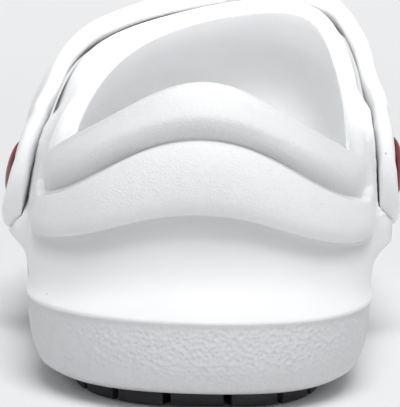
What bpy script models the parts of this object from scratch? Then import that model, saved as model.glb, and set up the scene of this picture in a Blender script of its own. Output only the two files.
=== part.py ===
"""Chef clog for the left foot: a moulded foam shell on a black rubber outsole, with a swinging heel strap
riveted on both sides and laid forward over the instep. +Z is up, +Y runs from heel to toe, and +X is the
inner side of the foot. The origin is the middle of the footprint, on the floor."""

import math
from collections import namedtuple

import bmesh
import bpy
import numpy as np
from mathutils import Matrix, Vector
from mathutils.bvhtree import BVHTree

MM = 0.001

# Sizes of the last and of the shell round it
LENGTH = 285 * MM
HEEL_WIDTH = 82.5 * MM
BALL_WIDTH = 106 * MM
COLLAR_BACK = 71.2 * MM
COLLAR_DIP = 53 * MM
INSTEP = 95.2 * MM
WALL = 5 * MM
LEDGE_HEIGHT = 21.1 * MM
LEDGE_DEPTH = 11.5 * MM
BROW_DEPTH = 8 * MM
LIP_HEIGHT = 1.0 * MM
LIP_STEP = 0.4 * MM
BAND_TUCK = 9.5 * MM

# Sizes of the sole's underside and of the footbed
LUG_HEIGHT = 2.8 * MM
LUG_PITCH = 13.6 * MM
LUG_GAP = 1.9 * MM
LUG_LENGTH = 9.5 * MM
PLATE = 2.2 * MM
SOLE_RIM = 1.2 * MM
HEEL_BEVEL = 0.9 * MM
ARCH_RISE = 3 * MM
TOE_SPRING = 12 * MM
FLOOR_HEEL = 18 * MM
FLOOR_BALL = 13.5 * MM
INSOLE = 4 * MM

# Sizes of the seats for the strap's pads, the strap and its rivets
PIN_HEIGHT = (43 * MM, 46.3 * MM)
SEAT_FACE = (48.5 * MM, 43.7 * MM)
EAR_RADIUS = 14 * MM
EAR_BLEND = 8 * MM
EAR_CUT = 0.4 * MM
CUP_WIDTH = (7 * MM, 26 * MM)
CUP_TOP = (-14 * MM, -7 * MM)
CUP_FOOT = 4.5 * MM
CUP_RISE = 3.9 * MM
PAD_RADIUS = 16.5 * MM
STRAP_WIDTH = 23 * MM
STRAP_THICKNESS = 5.2 * MM
STRAP_CORNER = 1.5 * MM
RIVET_HEAD = 8 * MM
RIVET_DOME = 2.3 * MM
RIVET_SHANK = 3.2 * MM
WASHER_RADIUS = 7 * MM
WASHER_THICKNESS = 1.6 * MM
WASHER_SEAT = 4.4 * MM

# Clearance between pieces that touch
GAP = 0.3 * MM

# One row for each direction round the foot, from the back of the heel by the inner side to the toe and back
# by the outer side. ball says how much of the ball's width counts there, x and rim_x are shares of that half
# width, y and rim_y are shares of the length, ledge is a share of the ledge's height, and heel_rise and
# instep_rise lift the rim from the dip towards the back of the collar and the instep. cove is a share of the
# ledge's depth. up, back and drop shape the wall between the ledge and the rim.
Direction = namedtuple(
    "Direction", "name ball x y ledge cove rim_x rim_y heel_rise instep_rise up back drop"
)
DIRECTIONS = [
    Direction("heel", 0.0, 0.0, 0.0, 1.0, 1.0, 0.0, 0.039, 1.0, 0.0, 0.33, 0.0, 0.33),
    Direction("heel_corner_in", 0.0, 0.585, 0.029, 1.0, 0.85, 0.49, 0.066, 0.60, 0.0, 0.33, 0.0, 0.33),
    Direction("heel_side_in", 0.0, 0.915, 0.116, 1.0, 0.35, 0.79, 0.140, 0.21, 0.0, 0.33, 0.0, 0.33),
    Direction("quarter_in", 0.05, 0.97, 0.228, 1.02, 0.07, 0.92, 0.232, 0.04, 0.0, 0.35, 0.05, 0.33),
    Direction("pivot_in", 0.3, 0.975, 0.379, 1.05, 0.06, 0.90, 0.361, 0.0, 0.13, 0.40, 0.10, 0.32),
    Direction("waist_in", 0.65, 0.92, 0.526, 1.03, 0.06, 0.80, 0.425, 0.0, 0.39, 0.45, 0.42, 0.08),
    Direction("ball_in", 1.0, 0.915, 0.70, 0.98, 0.06, 0.64, 0.491, 0.0, 0.78, 0.47, 0.47, 0.09),
    Direction("toe_in", 1.0, 0.79, 0.908, 1.10, 0.08, 0.47, 0.530, 0.0, 0.975, 0.50, 0.48, 0.12),
    Direction("toe", 1.0, 0.10, 1.0, 1.28, 0.10, 0.21, 0.544, 0.0, 1.0, 0.56, 0.50, 0.13),
    Direction("toe_out", 1.0, -0.80, 0.888, 1.12, 0.08, -0.11, 0.528, 0.0, 0.93, 0.50, 0.48, 0.06),
    Direction("ball_out", 1.0, -1.075, 0.677, 0.98, 0.06, -0.425, 0.477, 0.0, 0.77, 0.47, 0.50, -0.05),
    Direction("waist_out", 0.65, -1.127, 0.516, 1.03, 0.06, -0.70, 0.411, 0.0, 0.50, 0.45, 0.50, -0.04),
    Direction("pivot_out", 0.3, -1.135, 0.375, 1.05, 0.06, -0.92, 0.344, 0.0, 0.18, 0.40, 0.10, 0.30),
    Direction("quarter_out", 0.05, -1.055, 0.228, 1.02, 0.07, -0.975, 0.239, 0.03, 0.0, 0.35, 0.05, 0.33),
    Direction("heel_side_out", 0.0, -0.965, 0.116, 1.0, 0.35, -0.825, 0.140, 0.21, 0.0, 0.33, 0.0, 0.33),
    Direction("heel_corner_out", 0.0, -0.595, 0.029, 1.0, 0.85, -0.50, 0.066, 0.60, 0.0, 0.33, 0.0, 0.33),
]

# The folds moulded into the back of the heel, one row for each line round the shell from the ledge to the
# rim. heel and side are the line's height as a share of the wall, at the back and at the folds' ends, and
# arch is how far it follows the folds' arch. cove is a share of the ledge's depth, and brow, end and past are
# shares of the brow's depth at the back, at the folds' ends and just past them.
Fold = namedtuple("Fold", "name heel side arch cove brow end past")
FOLDS = [
    Fold("ledge", 0.0, 0.0, 0.0, 1.0, 0.0, 0.0, 0.0),
    Fold("cove_lip", 0.025, 0.03, 0.0, 0.72, 0.0, 0.0, 0.0),
    Fold("cove_low", 0.075, 0.09, 0.0, 0.40, 0.02, 0.02, 0.02),
    Fold("cove_mid", 0.165, 0.17, 0.0, 0.16, 0.06, 0.06, 0.06),
    Fold("cove_high", 0.285, 0.26, 0.4, 0.04, 0.09, 0.11, 0.11),
    Fold("cove_top", 0.39, 0.35, 0.9, 0.0, 0.09, 0.15, 0.15),
    Fold("crease", 0.425, 0.39, 1.0, 0.0, 0.14, 0.18, 0.18),
    Fold("brow_foot", 0.435, 0.42, 1.0, 0.0, 0.70, 0.20, 0.20),
    Fold("brow_low", 0.49, 0.47, 1.0, 0.0, 0.90, 0.21, 0.21),
    Fold("brow_mid", 0.585, 0.54, 1.0, 0.0, 1.0, 0.22, 0.22),
    Fold("brow_high", 0.69, 0.62, 1.0, 0.0, 0.91, 0.22, 0.22),
    Fold("brow_top", 0.755, 0.68, 1.0, 0.0, 0.66, 0.21, 0.22),
    Fold("groove", 0.77, 0.71, 1.0, 0.0, 0.33, -0.09, 0.21),
    Fold("roll_low", 0.815, 0.77, 0.8, 0.0, 0.57, -0.05, 0.20),
    Fold("roll_mid", 0.885, 0.86, 0.4, 0.0, 0.65, -0.02, 0.17),
    Fold("roll_high", 0.955, 0.94, 0.0, 0.0, 0.42, 0.0, 0.10),
    Fold("rim_edge", 1.0, 1.0, 0.0, 0.0, 0.0, 0.0, 0.0),
]
FOLD_ARCH = 0.024
ARCH_TURN = (0.3, 1.6)
ARCH_FADE = (1.5, 2.6)
FOLD_END = 3.0
FOLD_END_BLEND = 0.12
FOLD_CORNER = 0.07
SIDE_FADE = (3.3, 4.4)
EVEN_ROWS = (3.2, 4.6)

# Lines across each interval between two directions. They crowd together just past the folds' ends.
INTERVAL = (0.0, 0.2, 0.4, 0.6, 0.8)
INTERVAL_AT_ENDS = (0.0, 0.07, 0.16, 0.42, 0.70)

# Lines round the sole's side band: how far down it they lie, and how much of its tuck they have
Line = namedtuple("Line", "down tuck")
BAND = [
    Line(1.0, 1.0),
    Line(0.95, 0.60),
    Line(0.84, 0.30),
    Line(0.62, 0.11),
    Line(0.30, 0.02),
]

# Lines down the inner wall, as shares of the wall
INNER_LINES = (0.86, 0.68, 0.50, 0.32, 0.15, 0.0)

# Where the strap is pinned, as a share of the length and a height above the floor, where its seat's face is,
# and the pin's slope
Pivot = namedtuple("Pivot", "name side y height face slope")
PIVOTS = [
    Pivot("outer", -1, 0.39, PIN_HEIGHT[0], -SEAT_FACE[0], 12),
    Pivot("inner", 1, 0.41, PIN_HEIGHT[1], SEAT_FACE[1], 5),
]


def smoothstep(value, start, end):
    share = np.clip((value - start) / (end - start), 0.0, 1.0)
    return share * share * (3 - 2 * share)


class RoundSpline:
    """A smooth closed curve through evenly numbered rows of values."""

    def __init__(self, rows):
        self.rows = np.array(rows, float)
        count = len(self.rows)
        ring = np.eye(count) * 4 + np.roll(np.eye(count), 1, 0) + np.roll(np.eye(count), -1, 0)
        turn = np.roll(self.rows, -1, 0) - 2 * self.rows + np.roll(self.rows, 1, 0)
        self.bend = np.linalg.solve(ring, 6 * turn)

    def at(self, place):
        count = len(self.rows)
        low = math.floor(place)
        share = place - low
        rest = 1 - share
        first, second = low % count, (low + 1) % count
        return (
            rest * self.rows[first]
            + share * self.rows[second]
            + ((rest**3 - rest) * self.bend[first] + (share**3 - share) * self.bend[second]) / 6
        )


def half_width(row):
    return ((1 - row.ball) * HEEL_WIDTH + row.ball * BALL_WIDTH) / 2


def rim_height(row):
    lift = row.heel_rise * (COLLAR_BACK - COLLAR_DIP) + row.instep_rise * (INSTEP - COLLAR_DIP)
    return COLLAR_DIP + lift - WALL / 2


LEDGE_LINE = RoundSpline(
    [(row.x * half_width(row), row.y * LENGTH, row.ledge * LEDGE_HEIGHT) for row in DIRECTIONS]
)
RIM_LINE = RoundSpline(
    [(row.rim_x * half_width(row), row.rim_y * LENGTH, rim_height(row)) for row in DIRECTIONS]
)
WALL_SHAPE = RoundSpline([(row.cove, row.up, row.back, row.drop) for row in DIRECTIONS])


def outward(place):
    """The direction straight out of the ledge's outline, seen from above."""
    step = 0.01
    along = LEDGE_LINE.at(place + step) - LEDGE_LINE.at(place - step)
    out = np.array([along[1], -along[0], 0.0])
    return out / np.linalg.norm(out)


def wall_point(place, share):
    """A point of the plain wall, without its folds: share is 0 at the ledge and 1 at the rim."""
    cove, up, back, drop = WALL_SHAPE.at(place)
    foot = LEDGE_LINE.at(place) - outward(place) * LEDGE_DEPTH * cove
    rim = RIM_LINE.at(place)
    tall = rim[2] - foot[2]
    away = (foot - rim) * (1, 1, 0)
    low_handle = foot + np.array([0, 0, up * tall])
    high_handle = rim + away * back - np.array([0, 0, drop * tall])
    rest = 1 - share
    return (
        rest**3 * foot
        + 3 * rest**2 * share * low_handle
        + 3 * rest * share**2 * high_handle
        + share**3 * rim
    )


def wall_normal(place, share):
    step = 0.02
    around = wall_point(place + step, share) - wall_point(place - step, share)
    low, high = max(share - step, 0.0), min(share + step, 1.0)
    climb = wall_point(place, high) - wall_point(place, low)
    out = np.cross(around, climb)
    return out / np.linalg.norm(out)


def heel_distance(place):
    """How many directions away from the back of the heel a place is, on either side."""
    count = len(DIRECTIONS)
    place = place % count
    return min(place, count - place)


def fold_point(place, index):
    """A point of the outer surface, on one of the folds' lines."""
    fold = FOLDS[index]
    away = heel_distance(place)
    to_side = smoothstep(away, 0.0, FOLD_END)
    past_end = smoothstep(away, FOLD_END, FOLD_END + FOLD_END_BLEND)
    share = fold.heel + (fold.side - fold.heel) * to_side
    turned = 1 - 2 * smoothstep(away, *ARCH_TURN)
    share += fold.arch * FOLD_ARCH * turned * (1 - smoothstep(away, *ARCH_FADE))
    if fold.name in ("brow_top", "groove", "roll_low"):
        share += FOLD_CORNER * smoothstep(away, FOLD_END - 0.4, FOLD_END)
    even = index / (len(FOLDS) - 1)
    share += (even - share) * smoothstep(away, *EVEN_ROWS)
    brow = fold.brow + (fold.end - fold.brow) * to_side
    brow += (fold.past - brow) * past_end
    brow *= 1 - smoothstep(away, *SIDE_FADE)
    cove = WALL_SHAPE.at(place)[0]
    push = LEDGE_DEPTH * cove * fold.cove + BROW_DEPTH * brow
    return wall_point(place, share) + outward(place) * push


def ground(y):
    """The height of the tread above the floor: bevelled heel, arch and toe spring."""
    share = y / LENGTH
    heel = HEEL_BEVEL * max(0.0, (0.095 - share) / 0.06) ** 2
    arch = ARCH_RISE * smoothstep(share, 0.30, 0.42) * (1 - smoothstep(share, 0.44, 0.56))
    toe = TOE_SPRING * max(0.0, (share - 0.78) / 0.22) ** 2
    return min(heel, HEEL_BEVEL) + arch + toe


def floor_height(y):
    """The height of the footbed, from the heel's seat down to the ball and up again under the toes."""
    share = y / LENGTH
    drop = (FLOOR_HEEL - FLOOR_BALL) * smoothstep(share, 0.30, 0.62)
    return FLOOR_HEEL - drop + ground(y) * smoothstep(share, 0.78, 0.85)


def inset(place, distance, height=None):
    """A point of the ledge's outline moved straight in."""
    point = LEDGE_LINE.at(place) - outward(place) * distance
    if height is not None:
        point[2] = height(point[1])
    return point


def under_edge(y):
    return ground(y) + LUG_HEIGHT


def band_point(place, line):
    """A point of the sole's side, on one of the band's lines."""
    top = LEDGE_LINE.at(place)[2] - LIP_HEIGHT - LIP_STEP
    point = inset(place, LIP_STEP + BAND_TUCK * line.tuck)
    point[2] = top + (under_edge(point[1]) - top) * line.down
    return point


def places():
    """The lines from the sole up to the rim, numbered round the foot."""
    count = len(DIRECTIONS)
    found = []
    for number in range(count):
        shares = INTERVAL
        if number == FOLD_END:
            shares = INTERVAL_AT_ENDS
        if number == count - FOLD_END - 1:
            shares = (0.0, *sorted(1 - share for share in INTERVAL_AT_ENDS[1:]))
        found += [number + share for share in shares]
    return found


PLACES = places()


def new_object(name, mesh, material):
    obj = bpy.data.objects.new(name, mesh)
    bpy.context.scene.collection.objects.link(obj)
    mesh.materials.append(material)
    return obj


def material(name, colour, roughness):
    made = bpy.data.materials.new(name)
    made.use_nodes = True
    shader = made.node_tree.nodes["Principled BSDF"]
    shader.inputs["Base Color"].default_value = (*colour, 1.0)
    shader.inputs["Roughness"].default_value = roughness
    shader.inputs["Metallic"].default_value = 0.0
    return made


def skin(mesh_data, rings, closed_tube=False):
    """Joins rings of points with quads. The ends are filled by rungs from side to side."""
    rows = [[mesh_data.verts.new(point) for point in ring] for ring in rings]
    count = len(rows[0])
    pairs = list(zip(rows, rows[1:]))
    if closed_tube:
        pairs.append((rows[-1], rows[0]))
    for low, high in pairs:
        for k in range(count):
            following = (k + 1) % count
            mesh_data.faces.new((low[k], low[following], high[following], high[k]))
    if closed_tube:
        return
    for row, flip in ((rows[0], True), (rows[-1], False)):
        for k in range(count // 2):
            corners = [row[k], row[k + 1], row[(count - k - 1) % count], row[(count - k) % count]]
            corners = list(dict.fromkeys(corners))
            mesh_data.faces.new(corners[::-1] if flip else corners)


def finish(name, mesh_data, look, sharp=35):
    """Turns the faces outwards and makes the object."""
    bmesh.ops.recalc_face_normals(mesh_data, faces=mesh_data.faces)
    mesh = bpy.data.meshes.new(name)
    mesh_data.to_mesh(mesh)
    mesh_data.free()
    mesh.shade_smooth()
    mesh.set_sharp_from_angle(angle=math.radians(sharp))
    return new_object(name, mesh, look)


class Seat:
    """Where the strap is pinned to the shell: the pin's axis and the flat face that the pad lies on."""

    def __init__(self, pivot):
        self.name = pivot.name
        self.side = pivot.side
        slope = math.radians(pivot.slope)
        self.axis = np.array([pivot.side * math.cos(slope), 0.0, math.sin(slope)])
        self.up = np.array([-pivot.side * math.sin(slope), 0.0, math.cos(slope)])
        self.forward = np.array([0.0, 1.0, 0.0])
        self.face = np.array([pivot.face, pivot.y * LENGTH, pivot.height])

    def turn(self):
        """Turns +Z onto the pin's axis."""
        return Vector(self.axis).to_track_quat("Z", "Y").to_matrix().to_4x4()

    def pressed(self, point, ledge):
        """Moves a point of the shell's outside onto the seat, or out to the cup's edge under the pad."""
        off = point - self.face
        along, rise = off @ self.forward, off @ self.up
        seat = 1 - smoothstep(math.hypot(along, rise), EAR_RADIUS, EAR_RADIUS + EAR_BLEND)
        point = point + self.axis * (EAR_CUT - off @ self.axis) * seat
        cup = 1 - smoothstep(abs(along), *CUP_WIDTH)
        cup *= 1 - smoothstep(rise, *CUP_TOP)
        cup *= smoothstep(point[2], ledge, ledge + CUP_FOOT)
        depth = CUP_RISE - (point - self.face) @ self.axis
        return point + self.axis * max(depth, 0.0) * cup


def shell_rings(seats):
    """Rings of the shell from under the sole, up the outside, over the rim and down to the footbed."""
    rings = [
        [inset(p, BAND_TUCK + LIP_STEP + SOLE_RIM, lambda y: under_edge(y) + PLATE + GAP) for p in PLACES],
        [inset(p, BAND_TUCK + LIP_STEP + SOLE_RIM, under_edge) for p in PLACES],
    ]
    rings += [[band_point(p, line) for p in PLACES] for line in BAND]
    lip = np.array([0, 0, LIP_HEIGHT])
    rings += [
        [inset(p, LIP_STEP) - lip for p in PLACES],
        [inset(p, 0.0) - lip / 2 for p in PLACES],
    ]
    for index in range(len(FOLDS)):
        ring = []
        for place in PLACES:
            point = fold_point(place, index)
            for seat in seats:
                if (place < len(DIRECTIONS) / 2) == (seat.side > 0):
                    point = seat.pressed(point, LEDGE_LINE.at(place)[2])
            ring.append(point)
        rings.append(ring)
    for climb, depth in ((0.7, 0.3), (1.0, 1.0), (0.7, 1.7), (0.0, 2.0)):
        ring = []
        for place in PLACES:
            edge = wall_point(place, 1.0)
            up = edge - wall_point(place, 0.98)
            up = up / np.linalg.norm(up)
            ring.append(edge + (up * climb - wall_normal(place, 1.0) * depth) * WALL / 2)
        rings.append(ring)
    for share in INNER_LINES:
        rings.append([wall_point(p, share) - wall_normal(p, share) * WALL for p in PLACES])
    for step_in, rise in ((0.3, 0.55), (1.4, 0.16), (4.4, 0.0)):
        rings.append([footbed_point(p, step_in * MM, rise) for p in PLACES])
    return rings


def footbed_point(place, step_in, rise, lift=0.0):
    """A point at the edge of the footbed: rise is 0 on the floor and 1 at the ledge's height."""
    foot = wall_point(place, 0.0) - wall_normal(place, 0.0) * WALL
    point = foot - outward(place) * step_in
    floor = floor_height(point[1])
    point[2] = floor + (foot[2] - floor) * rise + lift
    return point


def make_shell(seats, look):
    data = bmesh.new()
    skin(data, shell_rings(seats))
    return finish("upper_midsole_shell", data, look, 28)


def cylinder(name, radius, low, high, seat, look=None, sides=32):
    """A round bar or cutter on a pin's axis, between two heights above the ear's face."""
    data = bmesh.new()
    bmesh.ops.create_cone(
        data, cap_ends=True, segments=sides, radius1=radius, radius2=radius, depth=high - low
    )
    bmesh.ops.translate(data, vec=(0, 0, (low + high) / 2), verts=data.verts)
    bmesh.ops.transform(data, matrix=Matrix.Translation(seat.face) @ seat.turn(), verts=data.verts)
    mesh = bpy.data.meshes.new(name)
    data.to_mesh(mesh)
    data.free()
    obj = bpy.data.objects.new(name, mesh)
    bpy.context.scene.collection.objects.link(obj)
    if look:
        mesh.materials.append(look)
    return obj


def cut(obj, cutter):
    """Cuts a helper out of an object."""
    cutter.hide_render = True
    cutter.display_type = "WIRE"
    modifier = obj.modifiers.new("cut_" + cutter.name, "BOOLEAN")
    modifier.object = cutter
    modifier.operation = "DIFFERENCE"
    modifier.solver = "EXACT"


def make_insole(look):
    """The loose footbed, a contoured sheet that fills the shell's floor."""
    data = bmesh.new()
    lift = GAP
    rings = [
        [footbed_point(p, 5.2 * MM, 0.0, lift) for p in PLACES],
        [footbed_point(p, 2.4 * MM, 0.0, lift + 0.35 * INSOLE) for p in PLACES],
        [footbed_point(p, 1.3 * MM, 0.0, lift + 0.8 * INSOLE) for p in PLACES],
        [footbed_point(p, 2.2 * MM, 0.0, lift + INSOLE * 1.1) for p in PLACES],
        [footbed_point(p, 9.0 * MM, 0.0, lift + INSOLE) for p in PLACES],
    ]
    skin(data, rings)
    return finish("insole", data, look, 50)


class PlateEdge:
    """The rubber outsole's outline, measured along its length."""

    def __init__(self):
        count = len(DIRECTIONS)
        self.places = np.linspace(0, count, 60 * count)
        distance = BAND_TUCK + LIP_STEP + SOLE_RIM + GAP
        points = np.array([inset(p, distance) for p in self.places])
        steps = np.linalg.norm(np.diff(points[:, :2], axis=0), axis=1)
        self.run = np.concatenate([[0.0], np.cumsum(steps)])
        self.distance = distance

    def at(self, run, step_in):
        place = np.interp(run % self.run[-1], self.run, self.places)
        return inset(place, self.distance + step_in)


def tread_block(data, corners):
    """A lug of the tread: a prism on the floor that reaches up into the plate."""
    low, high = [], []
    for x, y in corners:
        low.append(data.verts.new((x, y, ground(y))))
        high.append(data.verts.new((x, y, under_edge(y) + PLATE / 2)))
    count = len(low)
    data.faces.new(low[::-1])
    data.faces.new(high)
    for k in range(count):
        following = (k + 1) % count
        data.faces.new((low[k], low[following], high[following], high[k]))


def make_outsole(look):
    """A rubber plate let into the foam, with lugs round its edge and bars across its middle."""
    edge = PlateEdge()
    data = bmesh.new()
    distance = edge.distance
    skin(
        data,
        [
            [inset(p, distance, under_edge) for p in PLACES],
            [inset(p, distance, lambda y: under_edge(y) + PLATE) for p in PLACES],
        ],
    )
    plate = finish("outsole", data, look)
    lugs = bmesh.new()
    total = edge.run[-1]
    count = round(total / LUG_PITCH)
    pitch = total / count
    for number in range(count):
        start = (number - 0.5) * pitch + LUG_GAP / 2
        end = start + pitch - LUG_GAP
        outer = [edge.at(start + (end - start) * share, GAP)[:2] for share in (0.0, 0.5, 1.0)]
        inner = [edge.at(start + (end - start) * share, LUG_LENGTH)[:2] for share in (1.0, 0.0)]
        tread_block(lugs, outer + inner)
    loop = inner_loop()
    for start, end in ((0.12, 0.30), (0.56, 0.84)):
        rows = round((end - start) * LENGTH / LUG_PITCH)
        for row in range(rows):
            tread_bar(lugs, loop, start * LENGTH + row * LUG_PITCH)
    bmesh.ops.recalc_face_normals(lugs, faces=lugs.faces)
    mesh = bpy.data.meshes.new("lugs")
    lugs.to_mesh(mesh)
    lugs.free()
    helper = bpy.data.objects.new("lugs", mesh)
    bpy.context.scene.collection.objects.link(helper)
    helper.hide_render = True
    helper.display_type = "WIRE"
    modifier = plate.modifiers.new("lugs", "BOOLEAN")
    modifier.object = helper
    modifier.operation = "UNION"
    modifier.solver = "EXACT"
    return plate


def inner_loop():
    """The line just inside the tread's edge lugs."""
    margin = BAND_TUCK + LIP_STEP + SOLE_RIM + LUG_LENGTH + LUG_GAP + GAP
    return np.array([inset(place, margin) for place in np.linspace(0, len(DIRECTIONS), 400)])


def loop_sides(loop, y):
    """Where the loop crosses a line across the shoe."""
    ahead = loop[:, 1] > y
    crossings = np.flatnonzero(ahead[1:] != ahead[:-1])
    found = loop[crossings, 0]
    return found.min(), found.max()


def tread_bar(data, loop, y):
    """Two zigzag bars side by side across the middle of the tread."""
    thick = LUG_PITCH - LUG_GAP * 1.6
    bend = LUG_PITCH * 0.25
    near, far = loop_sides(loop, y), loop_sides(loop, y + thick + bend)
    left, right = max(near[0], far[0]), min(near[1], far[1])
    middle = (left + right) / 2
    for start, end in ((left, middle - LUG_GAP / 2), (middle + LUG_GAP / 2, right)):
        centre = (start + end) / 2
        outline = [(start, y), (centre, y + bend), (end, y)]
        outline += [(end, y + thick), (centre, y + bend + thick), (start, y + thick)]
        tread_block(data, outline)


def strap_path(seats, tree):
    """The strap's middle line from one pin over the instep to the other, with its outward directions."""
    outer, inner = seats
    lift = STRAP_THICKNESS / 2 + GAP
    crest = wall_point(len(DIRECTIONS) / 2, 1.0)
    crest[1] += STRAP_WIDTH / 2 + 4.5 * MM
    hub = (outer.face + inner.face) / 2
    across = inner.face - outer.face
    across = across / np.linalg.norm(across)
    over = crest - hub
    over = over - across * (over @ across)
    over = over / np.linalg.norm(over)
    knots, outs = [], []
    for angle in STRAP_ANGLES:
        turn = math.radians(angle)
        way = -across * math.cos(turn) + over * math.sin(turn)
        hit, normal, _, _ = tree.ray_cast(Vector(hub + way * LENGTH), Vector(-way), LENGTH)
        knots.append(np.array(hit) + np.array(normal) * lift)
        outs.append(np.array(normal))
    pads = []
    for seat in seats:
        run = over - seat.axis * (over @ seat.axis)
        run = run / np.linalg.norm(run)
        base = seat.face + seat.axis * lift
        pads.append([base + run * PAD_RADIUS * share for share in (0.0, 0.55, 1.0)])
    knots = pads[0] + knots + pads[1][::-1]
    outs = [outer.axis] * 3 + outs + [inner.axis] * 3
    return np.array(knots), np.array(outs)


def open_curve(knots):
    """Rows of values on a smooth curve through the knots, which start with a position: close at its ends."""
    ends = [2 * knots[0] - knots[1], *knots, 2 * knots[-1] - knots[-2]]
    fine = []
    for a, b, c, d in zip(ends, ends[1:], ends[2:], ends[3:]):
        for share in np.linspace(0, 1, 24, endpoint=False):
            fine.append(
                0.5
                * (
                    2 * b
                    + (c - a) * share
                    + (2 * a - 5 * b + 4 * c - d) * share**2
                    + (3 * b - a - 3 * c + d) * share**3
                )
            )
    fine = np.array(fine + [knots[-1]])
    run = np.concatenate([[0.0], np.cumsum(np.linalg.norm(np.diff(fine[:, :3], axis=0), axis=1))])
    ends = np.array(STRAP_ENDS) * PAD_RADIUS
    middle = np.linspace(ends[-1], run[-1] - ends[-1], STRAP_MIDDLE)
    wanted = np.concatenate([ends[:-1], middle, run[-1] - ends[-2::-1]])
    columns = [np.interp(wanted, run, column) for column in fine.T]
    return np.stack(columns, axis=1), wanted


STRAP_ENDS = (0.0, 0.2, 0.4, 0.57, 0.71, 0.86, 1.05, 1.3)
STRAP_MIDDLE = 25
NECK_FLARE = 1.2 * MM
MOST_TWIST = 0.25
STRAP_ANGLES = (32, 44, 58, 74, 90, 106, 122, 136, 148)
PAD_STATIONS = 7


def strap_section(centre, out, across, half):
    """Eight points of a flat strip with bevelled edges, seen along the strap."""
    thick = STRAP_THICKNESS / 2
    corner = min(STRAP_CORNER, half * 0.45)
    shape = [
        (-half, thick - corner),
        (-half + corner, thick),
        (half - corner, thick),
        (half, thick - corner),
        (half, -thick + corner),
        (half - corner, -thick),
        (-half + corner, -thick),
        (-half, -thick + corner),
    ]
    return [centre + across * x + out * z for x, z in shape]


def make_strap(seats, shell, look):
    """The heel strap, a moulded strip with a round pad at each end, lying on the vamp."""
    tree = BVHTree.FromObject(shell, bpy.context.evaluated_depsgraph_get())
    knots, outs = strap_path(seats, tree)
    found, run = open_curve(np.concatenate([knots, outs], axis=1))
    middle = found[:, :3]
    tangents = np.gradient(middle, run, axis=0)
    tangents /= np.linalg.norm(tangents, axis=1)[:, None]
    stations = []
    for centre, tangent, out, distance in zip(middle, tangents, found[:, 3:], run):
        near = min(distance, run[-1] - distance)
        out = out - tangent * (out @ tangent)
        out /= np.linalg.norm(out)
        pad = math.sqrt(max(PAD_RADIUS**2 - near**2, 0.0))
        neck = NECK_FLARE * (1 - smoothstep(near, PAD_RADIUS * 0.7, PAD_RADIUS * 1.6))
        half = max(pad, STRAP_WIDTH / 2 + neck)
        stations.append([centre, tangent, out, half, near])
    rest_on(tree, stations)
    rings = []
    angles = [math.pi / 2 * (k + 0.35) / PAD_STATIONS for k in range(PAD_STATIONS)]
    for angle in angles:
        centre, tangent, out, _, _ = stations[0]
        along = centre - tangent * PAD_RADIUS * math.cos(angle)
        rings.append(strap_section(along, out, np.cross(tangent, out), PAD_RADIUS * math.sin(angle)))
    for centre, tangent, out, half, _ in stations:
        rings.append(strap_section(centre, out, np.cross(tangent, out), half))
    for angle in reversed(angles):
        centre, tangent, out, _, _ = stations[-1]
        along = centre + tangent * PAD_RADIUS * math.cos(angle)
        rings.append(strap_section(along, out, np.cross(tangent, out), PAD_RADIUS * math.sin(angle)))
    data = bmesh.new()
    rows = [[data.verts.new(point) for point in ring] for ring in rings]
    for low, high in zip(rows, rows[1:]):
        for k in range(8):
            following = (k + 1) % 8
            data.faces.new((low[k], low[following], high[following], high[k]))
    data.faces.new(rows[0][::-1])
    data.faces.new(rows[-1])
    return finish("heel_strap", data, look, 40)


def smoothed(values, spread):
    """Each value evened out with its neighbours along the strap."""
    padded = np.pad(values, spread, mode="edge")
    return np.convolve(padded, np.ones(2 * spread + 1) / (2 * spread + 1), mode="valid")


def heights_under(tree, station):
    """How far the shell stands above the strap's inner face, from one edge of the strap to the other."""
    centre, tangent, out, half, _ = station
    across = np.cross(tangent, out)
    reach = 2 * PAD_RADIUS
    found = []
    for share in np.linspace(-1, 1, 9):
        start = centre + across * half * share + out * (reach - STRAP_THICKNESS / 2)
        hit = tree.ray_cast(Vector(start), Vector(-out), 2 * reach)
        if hit[0] is not None:
            found.append((half * share, reach - hit[3]))
    return np.array(found).reshape(-1, 2)


def rest_on(tree, stations):
    """Twists the strap to lie flat on the shell, then lifts it until its whole inner face is clear."""
    slopes = []
    for station in stations:
        found = heights_under(tree, station)
        slopes.append(np.polyfit(*found.T, 1)[0] if len(found) > 4 else 0.0)
    slopes = smoothed(np.clip(slopes, -MOST_TWIST, MOST_TWIST), 2)
    frees = [smoothstep(station[4], RIVET_HEAD, PAD_RADIUS) for station in stations]
    for station, slope, free in zip(stations, slopes, frees):
        out = station[2] - np.cross(station[1], station[2]) * slope * free
        station[2] = out / np.linalg.norm(out)
    lifts = []
    for station in stations:
        found = heights_under(tree, station)
        lifts.append(max(0.0, *(found[:, 1] + 3 * GAP)) if len(found) else 0.0)
    smooth = smoothed([max(lifts[max(0, i - 2) : i + 3]) for i in range(len(lifts))], 2)
    for station, lift, least, free in zip(stations, smooth, lifts, frees):
        station[0] = station[0] + station[2] * max(lift, least) * free


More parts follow.
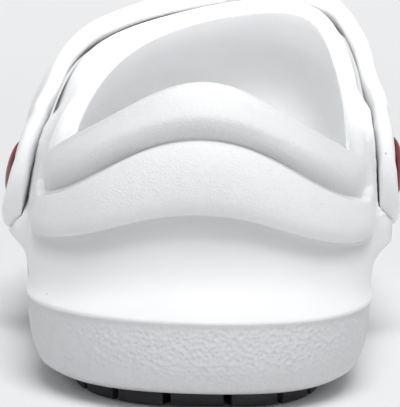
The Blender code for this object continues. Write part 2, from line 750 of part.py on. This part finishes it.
def make_rivet(seat, look):
    """A domed plastic button whose shank goes through the strap's pad and the shell."""
    name = "rivet_" + seat.name
    top = STRAP_THICKNESS + 2 * GAP
    profile = [
        (0.0, top + RIVET_DOME),
        (0.45 * RIVET_HEAD, top + 0.93 * RIVET_DOME),
        (0.80 * RIVET_HEAD, top + 0.62 * RIVET_DOME),
        (0.96 * RIVET_HEAD, top + 0.25 * RIVET_DOME),
        (RIVET_HEAD, top + GAP),
        (0.93 * RIVET_HEAD, top),
        (RIVET_SHANK, top),
        (RIVET_SHANK, -WASHER_SEAT),
        (0.0, -WASHER_SEAT),
    ]
    data = bmesh.new()
    verts = [data.verts.new((radius, 0, height)) for radius, height in profile]
    edges = [data.edges.new(pair) for pair in zip(verts, verts[1:])]
    bmesh.ops.spin(
        data, geom=verts + edges, cent=(0, 0, 0), axis=(0, 0, 1), angle=math.tau, steps=24, use_merge=True
    )
    bmesh.ops.remove_doubles(data, verts=data.verts, dist=0.01 * MM)
    bmesh.ops.transform(data, matrix=Matrix.Translation(seat.face) @ seat.turn(), verts=data.verts)
    return finish(name, data, look)


def make_washer(seat, look):
    """The cap that locks the button from inside the shell."""
    low = -WASHER_SEAT - GAP - WASHER_THICKNESS
    obj = cylinder("rivet_washer_" + seat.name, WASHER_RADIUS, low, -WASHER_SEAT - GAP, seat, look, 24)
    obj.data.shade_smooth()
    obj.data.set_sharp_from_angle(angle=math.radians(35))
    return obj


def centre_on_floor(objects):
    """Carries the whole shoe on one empty, so that the origin is the middle of the footprint."""
    corners = np.concatenate(
        [np.array([obj.matrix_world @ v.co for v in obj.data.vertices]) for obj in objects]
    )
    low, high = corners.min(axis=0), corners.max(axis=0)
    frame = bpy.data.objects.new("footprint_centre", None)
    bpy.context.scene.collection.objects.link(frame)
    frame.location = (-(low[0] + high[0]) / 2, -(low[1] + high[1]) / 2, 0.0)
    for obj in bpy.context.scene.objects:
        if obj is not frame:
            obj.parent = frame


def main():
    for obj in list(bpy.data.objects):
        bpy.data.objects.remove(obj)
    foam = material("white_foam", (0.86, 0.87, 0.86), 0.55)
    bed = material("insole_foam", (0.80, 0.81, 0.80), 0.8)
    rubber = material("black_rubber", (0.02, 0.02, 0.022), 0.6)
    red = material("red_plastic", (0.30, 0.035, 0.03), 0.35)
    seats = [Seat(pivot) for pivot in PIVOTS]
    shell = make_shell(seats, foam)
    for seat in seats:
        cut(shell, cylinder("pad_seat_" + seat.name, PAD_RADIUS + 2 * GAP, 0.0, EAR_BLEND, seat, sides=48))
    bpy.context.view_layer.update()
    strap = make_strap(seats, shell, foam)
    objects = [shell, strap, make_insole(bed), make_outsole(rubber)]
    for seat in seats:
        objects.append(make_rivet(seat, red))
        objects.append(make_washer(seat, foam))
        hole = cylinder(
            "pin_hole_" + seat.name, RIVET_SHANK + GAP, -WASHER_SEAT - EAR_BLEND, EAR_BLEND, seat
        )
        bore = cylinder(
            "washer_bore_" + seat.name,
            WASHER_RADIUS + GAP,
            -WASHER_SEAT - 2 * EAR_BLEND,
            -WASHER_SEAT,
            seat,
        )
        cut(shell, hole)
        cut(shell, bore)
        cut(strap, hole)
    centre_on_floor(objects)


main()
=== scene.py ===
"""The look of a left-foot chef clog: white moulded foam, a heel strap laid forward on red buttons, and a
black rubber outsole. Metres; +Z is up, +Y runs from heel to toe and +X is the inner side of the foot."""

import math

import bmesh
import bpy
from mathutils import Matrix, Vector


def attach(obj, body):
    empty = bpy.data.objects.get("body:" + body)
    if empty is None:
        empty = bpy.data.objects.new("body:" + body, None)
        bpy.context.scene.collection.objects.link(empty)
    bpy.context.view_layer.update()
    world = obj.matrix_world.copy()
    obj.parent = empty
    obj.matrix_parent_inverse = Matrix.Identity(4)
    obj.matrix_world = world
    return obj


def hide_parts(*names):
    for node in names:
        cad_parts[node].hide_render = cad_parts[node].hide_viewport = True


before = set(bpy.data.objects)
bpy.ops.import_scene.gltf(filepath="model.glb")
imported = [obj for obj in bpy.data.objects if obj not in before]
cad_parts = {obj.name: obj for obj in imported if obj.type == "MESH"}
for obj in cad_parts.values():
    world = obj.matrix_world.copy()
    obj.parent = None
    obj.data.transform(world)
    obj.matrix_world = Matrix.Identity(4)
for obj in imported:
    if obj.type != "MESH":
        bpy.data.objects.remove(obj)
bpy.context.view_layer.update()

# The camera stands low behind the heel, as a shoe is shown from the back, a little above the collar. It
# looks slightly down and is rolled a touch, so the inner side of the shoe sits lower in the picture.
FOCAL_PIXELS = 1713.6
PICTURE_HEIGHT = 407
SENSOR_HEIGHT = 36.0
CLIP_START = 0.01
CAMERA_PLACE = (0.0147, -0.4973, 0.0794)
CAMERA_YAW = 1.93
CAMERA_DOWN = 5.37
CAMERA_ROLL = 1.2


def put(name, data):
    """A new object in the scene."""
    thing = bpy.data.objects.new(name, data)
    bpy.context.scene.collection.objects.link(thing)
    return thing


camera_data = bpy.data.cameras.new("camera")
camera_data.sensor_fit = "VERTICAL"
camera_data.sensor_height = SENSOR_HEIGHT
camera_data.lens = FOCAL_PIXELS / PICTURE_HEIGHT * SENSOR_HEIGHT
camera_data.clip_start = CLIP_START
camera = put("camera", camera_data)
camera.matrix_world = (
    Matrix.Translation(CAMERA_PLACE)
    @ Matrix.Rotation(math.radians(CAMERA_YAW), 4, "Z")
    @ Matrix.Rotation(math.radians(90 - CAMERA_DOWN), 4, "X")
    @ Matrix.Rotation(math.radians(CAMERA_ROLL), 4, "Z")
)
bpy.context.scene.camera = camera

# The studio is a pale paper floor that rises gently all round, so that no horizon shows. One broad soft
# light hangs high behind the heel, a little to the inner side, under a cool sky, and two narrow spots shine
# into the opening, one from high above the heel and one over the collar.
SWEEP = ((0.0, 0.0), (1.2, 0.0), (2.2, 0.06), (3.2, 0.22), (9.0, 1.7))
SWEEP_STEPS = 48
PAPER_COLOUR = (0.89, 0.89, 0.89, 1)
PAPER_ROUGHNESS = 0.9
KEY_FROM = (0.12, -0.50, 1.0)
KEY_ANGLE = 35
KEY_STRENGTH = 2.15
SKY_COLOUR = (0.95, 0.975, 1, 1)
SKY_STRENGTH = 0.32
SPOT_BLEND = 0.5
# Each spot's name, place, aim, angle in degrees, watts and radius.
SPOTS = (
    ("overhead_spot", (0.0, -0.25, 0.9), (0.0, -0.045, 0.03), 4, 130, 0.01),
    ("collar_spot", (0.02, -0.52, 0.25), (0.0, 0.05, 0.081), 9, 38, 0.04),
)

bpy.context.scene.view_settings.view_transform = "Standard"
key_data = bpy.data.lights.new("overhead_key", "SUN")
key_data.energy = KEY_STRENGTH
key_data.angle = math.radians(KEY_ANGLE)
overhead_key = put("overhead_key", key_data)
overhead_key.location = KEY_FROM
overhead_key.rotation_euler = Vector(KEY_FROM).to_track_quat("Z", "Y").to_euler()

for spot_name, place, aim, angle, watts, radius in SPOTS:
    spot_data = bpy.data.lights.new(spot_name, "SPOT")
    spot_data.energy = watts
    spot_data.spot_size = math.radians(angle)
    spot_data.spot_blend = SPOT_BLEND
    spot_data.shadow_soft_size = radius
    spot = put(spot_name, spot_data)
    spot.location = place
    spot.rotation_euler = (Vector(place) - Vector(aim)).to_track_quat("Z", "Y").to_euler()

sky = bpy.data.worlds.new("studio_sky")
sky.use_nodes = True
sky.node_tree.nodes["Background"].inputs["Color"].default_value = SKY_COLOUR
sky.node_tree.nodes["Background"].inputs["Strength"].default_value = SKY_STRENGTH
bpy.context.scene.world = sky

sweep_bm = bmesh.new()
profile = [sweep_bm.verts.new((radius, 0, height)) for radius, height in SWEEP]
spokes = [sweep_bm.edges.new(pair) for pair in zip(profile, profile[1:])]
bmesh.ops.spin(
    sweep_bm,
    geom=profile + spokes,
    cent=(0, 0, 0),
    axis=(0, 0, 1),
    angle=math.tau,
    steps=SWEEP_STEPS,
    use_merge=True,
)
bmesh.ops.recalc_face_normals(sweep_bm, faces=sweep_bm.faces)
sweep_mesh = bpy.data.meshes.new("studio_floor")
sweep_bm.to_mesh(sweep_mesh)
sweep_bm.free()
sweep_mesh.shade_smooth()
studio_floor = put("studio_floor", sweep_mesh)
paper = bpy.data.materials.new("studio_paper")
paper.use_nodes = True
paper.node_tree.nodes["Principled BSDF"].inputs["Base Color"].default_value = PAPER_COLOUR
paper.node_tree.nodes["Principled BSDF"].inputs["Roughness"].default_value = PAPER_ROUGHNESS
sweep_mesh.materials.append(paper)

# The clog itself is one moulding of closed-cell foam: toe, vamp, folded heel, collar and the deep side of
# the sole. The mould leaves a fine leather grain on the folds and walls and a coarse pebble on the sole's
# side, whose colour is painted darker as shade. The hollow under the folds is smooth, and painted shade
# greys the foam along both folds.
MERGE = 1e-5
QUAD_FACE_ANGLE = 35
QUAD_SHAPE_ANGLE = 60
ROUNDING_LEVELS = 2
NOISE_DETAIL = 3
FOAM_SHARP = 30
FOAM_CREASE = 0.9

FOAM_COLOUR = (0.905, 0.91, 0.915, 1)
DIMMER = 0.965
DIMMER_FOAM_COLOUR = tuple(DIMMER * part for part in FOAM_COLOUR[:3]) + (1,)
TINT_SCALE = 35
TINT_RANGE = (0.35, 0.75)
SPECK_COLOUR = (0.42, 0.41, 0.40, 1)
SPECK_SCALE = 70
SPECK_RANGE = (0.010, 0.022)
ROUGHNESS_SCALE = 160
ROUGHNESS_RANGE = (0.48, 0.64)
FOAM_SPECULAR = 0.35

GRAIN_CELLS = 2100
GRAIN_NOISE = 900
GRAIN_DEPTH = 0.00022
PLAIN_GRAIN_DEPTH = 0.0001
PEBBLED_SHADE_COLOUR = (0.68, 0.685, 0.70, 1)
PEBBLE_CELLS = 950
PEBBLE_SMOOTHNESS = 0.35
PEBBLE_NOISE = 2200
PEBBLE_NOISE_SHARE = 0.25
PEBBLE_DETAIL = 2
PEBBLE_DEPTH = 0.00032

# The pebbled side band, painted darker as shade, ends at the lip, which rises by LIP_RISE towards the toe.
# The smooth hollow and the painted shade along the folds are the heel's alone, and end within
# HEEL_END_RANGE.
LIP_FADE = (0.0196, 0.0208)
LIP_RISE = 0.006
LIP_RISE_RANGE = (0.06, 0.13)
HEEL_END_RANGE = (-0.105, -0.07)

# Each fold's line is a cosine over the middle of the heel: its mean height, how far it rises above that, and
# its pace across the heel. Each painted shade along a fold has a reach from its fold's line and a strength.
FOLD_MIDDLE = 0.0024
LOWER_FOLD = (0.0387, 0.00415, 78.5)
UPPER_FOLD = (0.0510, 0.00816, 72)
LOWER_FOLD_EDGE = (-0.0015, 0.0005)
FOLD_SHADE_COLOUR = (0.30, 0.31, 0.33, 1)
UNDER_LOWER_FOLD = (0.007, 0.42)
OVER_LOWER_FOLD = (0.0045, 0.2)
OVER_UPPER_FOLD = (0.0075, 0.36)
SHADE_START = -0.0003


def joined_copy(node, name, sharp, crease, levels):
    """A copy of a CAD node with its triangles merged into quads, smoothed, and creased along sharp edges."""
    bm = bmesh.new()
    bm.from_mesh(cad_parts[node].data)
    bmesh.ops.remove_doubles(bm, verts=bm.verts, dist=MERGE)
    bmesh.ops.join_triangles(
        bm,
        faces=bm.faces,
        angle_face_threshold=math.radians(QUAD_FACE_ANGLE),
        angle_shape_threshold=math.radians(QUAD_SHAPE_ANGLE),
    )
    layer = bm.edges.layers.float.new("crease_edge")
    for edge in bm.edges:
        if edge.is_manifold and edge.calc_face_angle() > math.radians(sharp):
            edge[layer] = crease
    mesh = bpy.data.meshes.new(name)
    bm.to_mesh(mesh)
    bm.free()
    mesh.shade_smooth()
    piece = put(name, mesh)
    if levels:
        rounding = piece.modifiers.new("rounding", "SUBSURF")
        rounding.levels = levels
        rounding.render_levels = levels
    return piece


def fit(piece, node, finish):
    """Puts a finished piece in the place of its CAD node."""
    piece.data.materials.clear()
    piece.data.materials.append(finish)
    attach(piece, "root")
    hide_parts(node)


class Nodes:
    """Shorthand for laying out a material's nodes."""

    def __init__(self, name):
        self.material = bpy.data.materials.new(name)
        self.material.use_nodes = True
        self.tree = self.material.node_tree
        self.shader = self.tree.nodes["Principled BSDF"]
        self.place = self.add("ShaderNodeTexCoord").outputs["Object"]

    def add(self, kind, **settings):
        node = self.tree.nodes.new(kind)
        for key, value in settings.items():
            setattr(node, key, value)
        return node

    def link(self, source, target):
        self.tree.links.new(source, target)

    def math(self, operation, first, second=0.0, third=0.0):
        node = self.add("ShaderNodeMath", operation=operation)
        for socket, value in zip(node.inputs, (first, second, third)):
            if isinstance(value, (int, float)):
                socket.default_value = value
            else:
                self.link(value, socket)
        return node.outputs[0]

    def ramp(self, value, low, high):
        """0 below low, 1 above high, and smooth between."""
        node = self.add("ShaderNodeMapRange", interpolation_type="SMOOTHSTEP")
        self.link(value, node.inputs["Value"])
        node.inputs["From Min"].default_value = low
        node.inputs["From Max"].default_value = high
        return node.outputs["Result"]

    def mix(self, factor, first, second):
        """The first colour at factor 0 and the second at 1. Each is a colour or an output."""
        node = self.add("ShaderNodeMix", data_type="RGBA")
        self.link(factor, node.inputs["Factor"])
        for key, colour in (("A", first), ("B", second)):
            if isinstance(colour, tuple):
                node.inputs[key].default_value = colour
            else:
                self.link(colour, node.inputs[key])
        return node.outputs["Result"]

    def noise(self, scale, detail=NOISE_DETAIL):
        node = self.add("ShaderNodeTexNoise")
        self.link(self.place, node.inputs["Vector"])
        node.inputs["Scale"].default_value = scale
        node.inputs["Detail"].default_value = detail
        return node.outputs["Fac"]

    def cells(self, scale, feature="F1", smoothness=None):
        node = self.add("ShaderNodeTexVoronoi", feature=feature)
        self.link(self.place, node.inputs["Vector"])
        node.inputs["Scale"].default_value = scale
        if smoothness is not None:
            node.inputs["Smoothness"].default_value = smoothness
        return node.outputs["Distance"]

    def above_fold(self, x, z, height, rise, pace):
        """Height above a fold's line, which arches over the middle of the heel."""
        turn = self.math("MULTIPLY", self.math("SUBTRACT", x, FOLD_MIDDLE), pace)
        arch = self.math("MULTIPLY_ADD", self.math("COSINE", turn), rise, height)
        return self.math("SUBTRACT", z, arch)

    def fade(self, distance, reach, most):
        """Most at distance 0, falling to nothing at reach, and nothing on the other side."""
        side = self.ramp(distance, SHADE_START, 0.0)
        beyond = self.ramp(distance, 0.0, reach)
        return self.math("MULTIPLY", self.math("SUBTRACT", side, beyond), most)

    def bump(self, height, depth, below=None):
        node = self.add("ShaderNodeBump")
        self.link(height, node.inputs["Height"])
        node.inputs["Distance"].default_value = depth
        if below is not None:
            self.link(below, node.inputs["Normal"])
        return node.outputs["Normal"]


def foam_finish(name, moulded_zones):
    """White foam. The clog has grained, smooth and pebbled zones, and a plain piece is lightly grained."""
    foam = Nodes(name)
    grain = foam.math("MULTIPLY", foam.cells(GRAIN_CELLS), foam.noise(GRAIN_NOISE))
    tone = foam.mix(foam.ramp(foam.noise(TINT_SCALE), *TINT_RANGE), FOAM_COLOUR, DIMMER_FOAM_COLOUR)
    if moulded_zones:
        split = foam.add("ShaderNodeSeparateXYZ")
        foam.link(foam.place, split.inputs[0])
        x, y, z = split.outputs
        over_lower = foam.above_fold(x, z, *LOWER_FOLD)
        over_upper = foam.above_fold(x, z, *UPPER_FOLD)
        past_heel = foam.ramp(y, *HEEL_END_RANGE)
        lift = foam.math("MULTIPLY", foam.ramp(y, *LIP_RISE_RANGE), LIP_RISE)
        band = foam.math("SUBTRACT", 1.0, foam.ramp(foam.math("SUBTRACT", z, lift), *LIP_FADE))
        grained = foam.math("MAXIMUM", foam.ramp(over_lower, *LOWER_FOLD_EDGE), past_heel)
        grained = foam.math("MULTIPLY", grained, foam.math("SUBTRACT", 1.0, band))
        fine = foam.bump(foam.math("MULTIPLY", grain, grained), GRAIN_DEPTH)
        bumps = foam.cells(PEBBLE_CELLS, "SMOOTH_F1", PEBBLE_SMOOTHNESS)
        between = foam.math("MULTIPLY", foam.noise(PEBBLE_NOISE, PEBBLE_DETAIL), PEBBLE_NOISE_SHARE)
        pebble = foam.math("ADD", bumps, between)
        surface = foam.bump(foam.math("MULTIPLY", pebble, band), PEBBLE_DEPTH, below=fine)
        # Painted shade: the foam is greyed under and over the lower fold and over the upper fold, on the
        # heel only.
        fold_shade = foam.fade(foam.math("MULTIPLY", over_lower, -1.0), *UNDER_LOWER_FOLD)
        fold_shade = foam.math("MAXIMUM", fold_shade, foam.fade(over_lower, *OVER_LOWER_FOLD))
        fold_shade = foam.math("MAXIMUM", fold_shade, foam.fade(over_upper, *OVER_UPPER_FOLD))
        fold_shade = foam.math("MULTIPLY", fold_shade, foam.math("SUBTRACT", 1.0, past_heel))
        # Painted shade: the pebbled band is coloured darker than the rest of the foam.
        tone = foam.mix(band, tone, PEBBLED_SHADE_COLOUR)
        tone = foam.mix(fold_shade, tone, FOLD_SHADE_COLOUR)
    else:
        surface = foam.bump(grain, PLAIN_GRAIN_DEPTH)
    speck = foam.math("SUBTRACT", 1.0, foam.ramp(foam.cells(SPECK_SCALE), *SPECK_RANGE))
    dull = foam.add("ShaderNodeMapRange")
    foam.link(foam.noise(ROUGHNESS_SCALE), dull.inputs["Value"])
    dull.inputs["To Min"].default_value = ROUGHNESS_RANGE[0]
    dull.inputs["To Max"].default_value = ROUGHNESS_RANGE[1]
    foam.link(surface, foam.shader.inputs["Normal"])
    foam.link(foam.mix(speck, tone, SPECK_COLOUR), foam.shader.inputs["Base Color"])
    foam.link(dull.outputs["Result"], foam.shader.inputs["Roughness"])
    foam.shader.inputs["Specular IOR Level"].default_value = FOAM_SPECULAR
    return foam.material


clog_shell = joined_copy("upper_midsole_shell", "clog_shell", FOAM_SHARP, FOAM_CREASE, ROUNDING_LEVELS)
fit(clog_shell, "upper_midsole_shell", foam_finish("moulded_clog_foam", True))

# The heel strap is a moulded foam strip with a round pad at each end. It swings on its two buttons, and here
# it lies forward over the instep. Away from the pads its inner face is settled a little closer to the vamp,
# and its upper part is evened along its length.
STRAP_SHARP = 50
STRAP_CREASE = 0.3
FOOT_MIDDLE = Vector((0, -0.005, 0.045))
STRAP_SETTLE = 0.0003
SETTLE_FROM = 0.054
SETTLE_REACH = 0.01
STRAP_EVENING = 3
EVENING_STEP = 0.3
EVENED_ABOVE = 0.06
LEAST_LEAN = 0.8

heel_strap = joined_copy("heel_strap", "swung_heel_strap", STRAP_SHARP, STRAP_CREASE, ROUNDING_LEVELS)
for vertex in heel_strap.data.vertices:
    inner_face = vertex.normal.dot(vertex.co - FOOT_MIDDLE) < 0
    clear_of_pads = min(max((vertex.co.z - SETTLE_FROM) / SETTLE_REACH, 0), 1)
    if inner_face:
        vertex.co += vertex.normal * STRAP_SETTLE * clear_of_pads
strap_bm = bmesh.new()
strap_bm.from_mesh(heel_strap.data)
for _ in range(STRAP_EVENING):
    moves = []
    for vertex in strap_bm.verts:
        out = vertex.co - FOOT_MIDDLE
        along = Vector((-out.z, 0, out.x)).normalized()
        ahead = []
        behind = []
        for edge in vertex.link_edges:
            other = edge.other_vert(vertex).co
            lean = (other - vertex.co).normalized().dot(along)
            if lean > LEAST_LEAN:
                ahead.append(other)
            elif lean < -LEAST_LEAN:
                behind.append(other)
        if ahead and behind and vertex.co.z > EVENED_ABOVE:
            front = sum(ahead, Vector()) / len(ahead)
            back = sum(behind, Vector()) / len(behind)
            share = (vertex.co - back).dot(front - back) / (front - back).length_squared
            moves.append((vertex, back.lerp(front, share) - vertex.co))
    for vertex, move in moves:
        vertex.co += EVENING_STEP * move
strap_bm.to_mesh(heel_strap.data)
strap_bm.free()
fit(heel_strap, "heel_strap", foam_finish("strap_foam", False))

# The loose footbed is a cut sheet of softer foam, pressed to the shape of the foot. It lies in its seat
# inside the clog and lifts out.
FOOTBED_SHARP = 60
FOOTBED_CREASE = 0.4

footbed = joined_copy("insole", "footbed", FOOTBED_SHARP, FOOTBED_CREASE, ROUNDING_LEVELS)
fit(footbed, "insole", foam_finish("footbed_foam", False))

# The outsole is moulded black rubber, let into the foam, with lugs round its edge and bars across it. Its
# edges are slightly rounded by the mould.
RUBBER_GRAIN = 1400
RUBBER_GRAIN_DEPTH = 0.00012
RUBBER_TINT_SCALE = 120
RUBBER_DARK = (0.012, 0.012, 0.014, 1)
RUBBER_PALE = (0.03, 0.03, 0.033, 1)
RUBBER_ROUGHNESS = 0.55
NO_SHARP = 180
MOULD_EDGE = 0.0003
MOULD_EDGE_ANGLE = 40
MOULD_EDGE_SEGMENTS = 2

rubber = Nodes("outsole_rubber")
rubber_tone = rubber.mix(rubber.noise(RUBBER_TINT_SCALE), RUBBER_DARK, RUBBER_PALE)
rubber_grain = rubber.bump(rubber.noise(RUBBER_GRAIN), RUBBER_GRAIN_DEPTH)
rubber.link(rubber_tone, rubber.shader.inputs["Base Color"])
rubber.link(rubber_grain, rubber.shader.inputs["Normal"])
rubber.shader.inputs["Roughness"].default_value = RUBBER_ROUGHNESS

lugged_outsole = joined_copy("outsole", "lugged_outsole", NO_SHARP, 0.0, 0)
mould_edge = lugged_outsole.modifiers.new("mould_edge", "BEVEL")
mould_edge.width = MOULD_EDGE
mould_edge.segments = MOULD_EDGE_SEGMENTS
mould_edge.limit_method = "ANGLE"
mould_edge.angle_limit = math.radians(MOULD_EDGE_ANGLE)
fit(lugged_outsole, "outsole", rubber.material)

# The strap's buttons are dark red plastic, domed and bare, each with a shank through pad and shell and a
# white cap that locks it inside.
BUTTON_GRAIN = 2500
BUTTON_GRAIN_DEPTH = 0.00003
BUTTON_TINT_SCALE = 300
BUTTON_DETAIL = 2
BUTTON_DARK = (0.16, 0.012, 0.014, 1)
BUTTON_PALE = (0.22, 0.018, 0.02, 1)
BUTTON_ROUGHNESS = 0.38
BUTTON_SHARP = 35
BUTTON_CREASE = 0.6
CAP_CREASE = 0.8

red = Nodes("button_plastic")
red_tone = red.mix(red.noise(BUTTON_TINT_SCALE, BUTTON_DETAIL), BUTTON_DARK, BUTTON_PALE)
red_grain = red.bump(red.noise(BUTTON_GRAIN, BUTTON_DETAIL), BUTTON_GRAIN_DEPTH)
red.link(red_tone, red.shader.inputs["Base Color"])
red.link(red_grain, red.shader.inputs["Normal"])
red.shader.inputs["Roughness"].default_value = BUTTON_ROUGHNESS

for side in ("outer", "inner"):
    button = joined_copy("rivet_" + side, "button_" + side, BUTTON_SHARP, BUTTON_CREASE, ROUNDING_LEVELS)
    fit(button, "rivet_" + side, red.material)
    cap_name = "locking_cap_" + side
    cap = joined_copy("rivet_washer_" + side, cap_name, BUTTON_SHARP, CAP_CREASE, ROUNDING_LEVELS)
    fit(cap, "rivet_washer_" + side, foam_finish("cap_plastic_" + side, False))
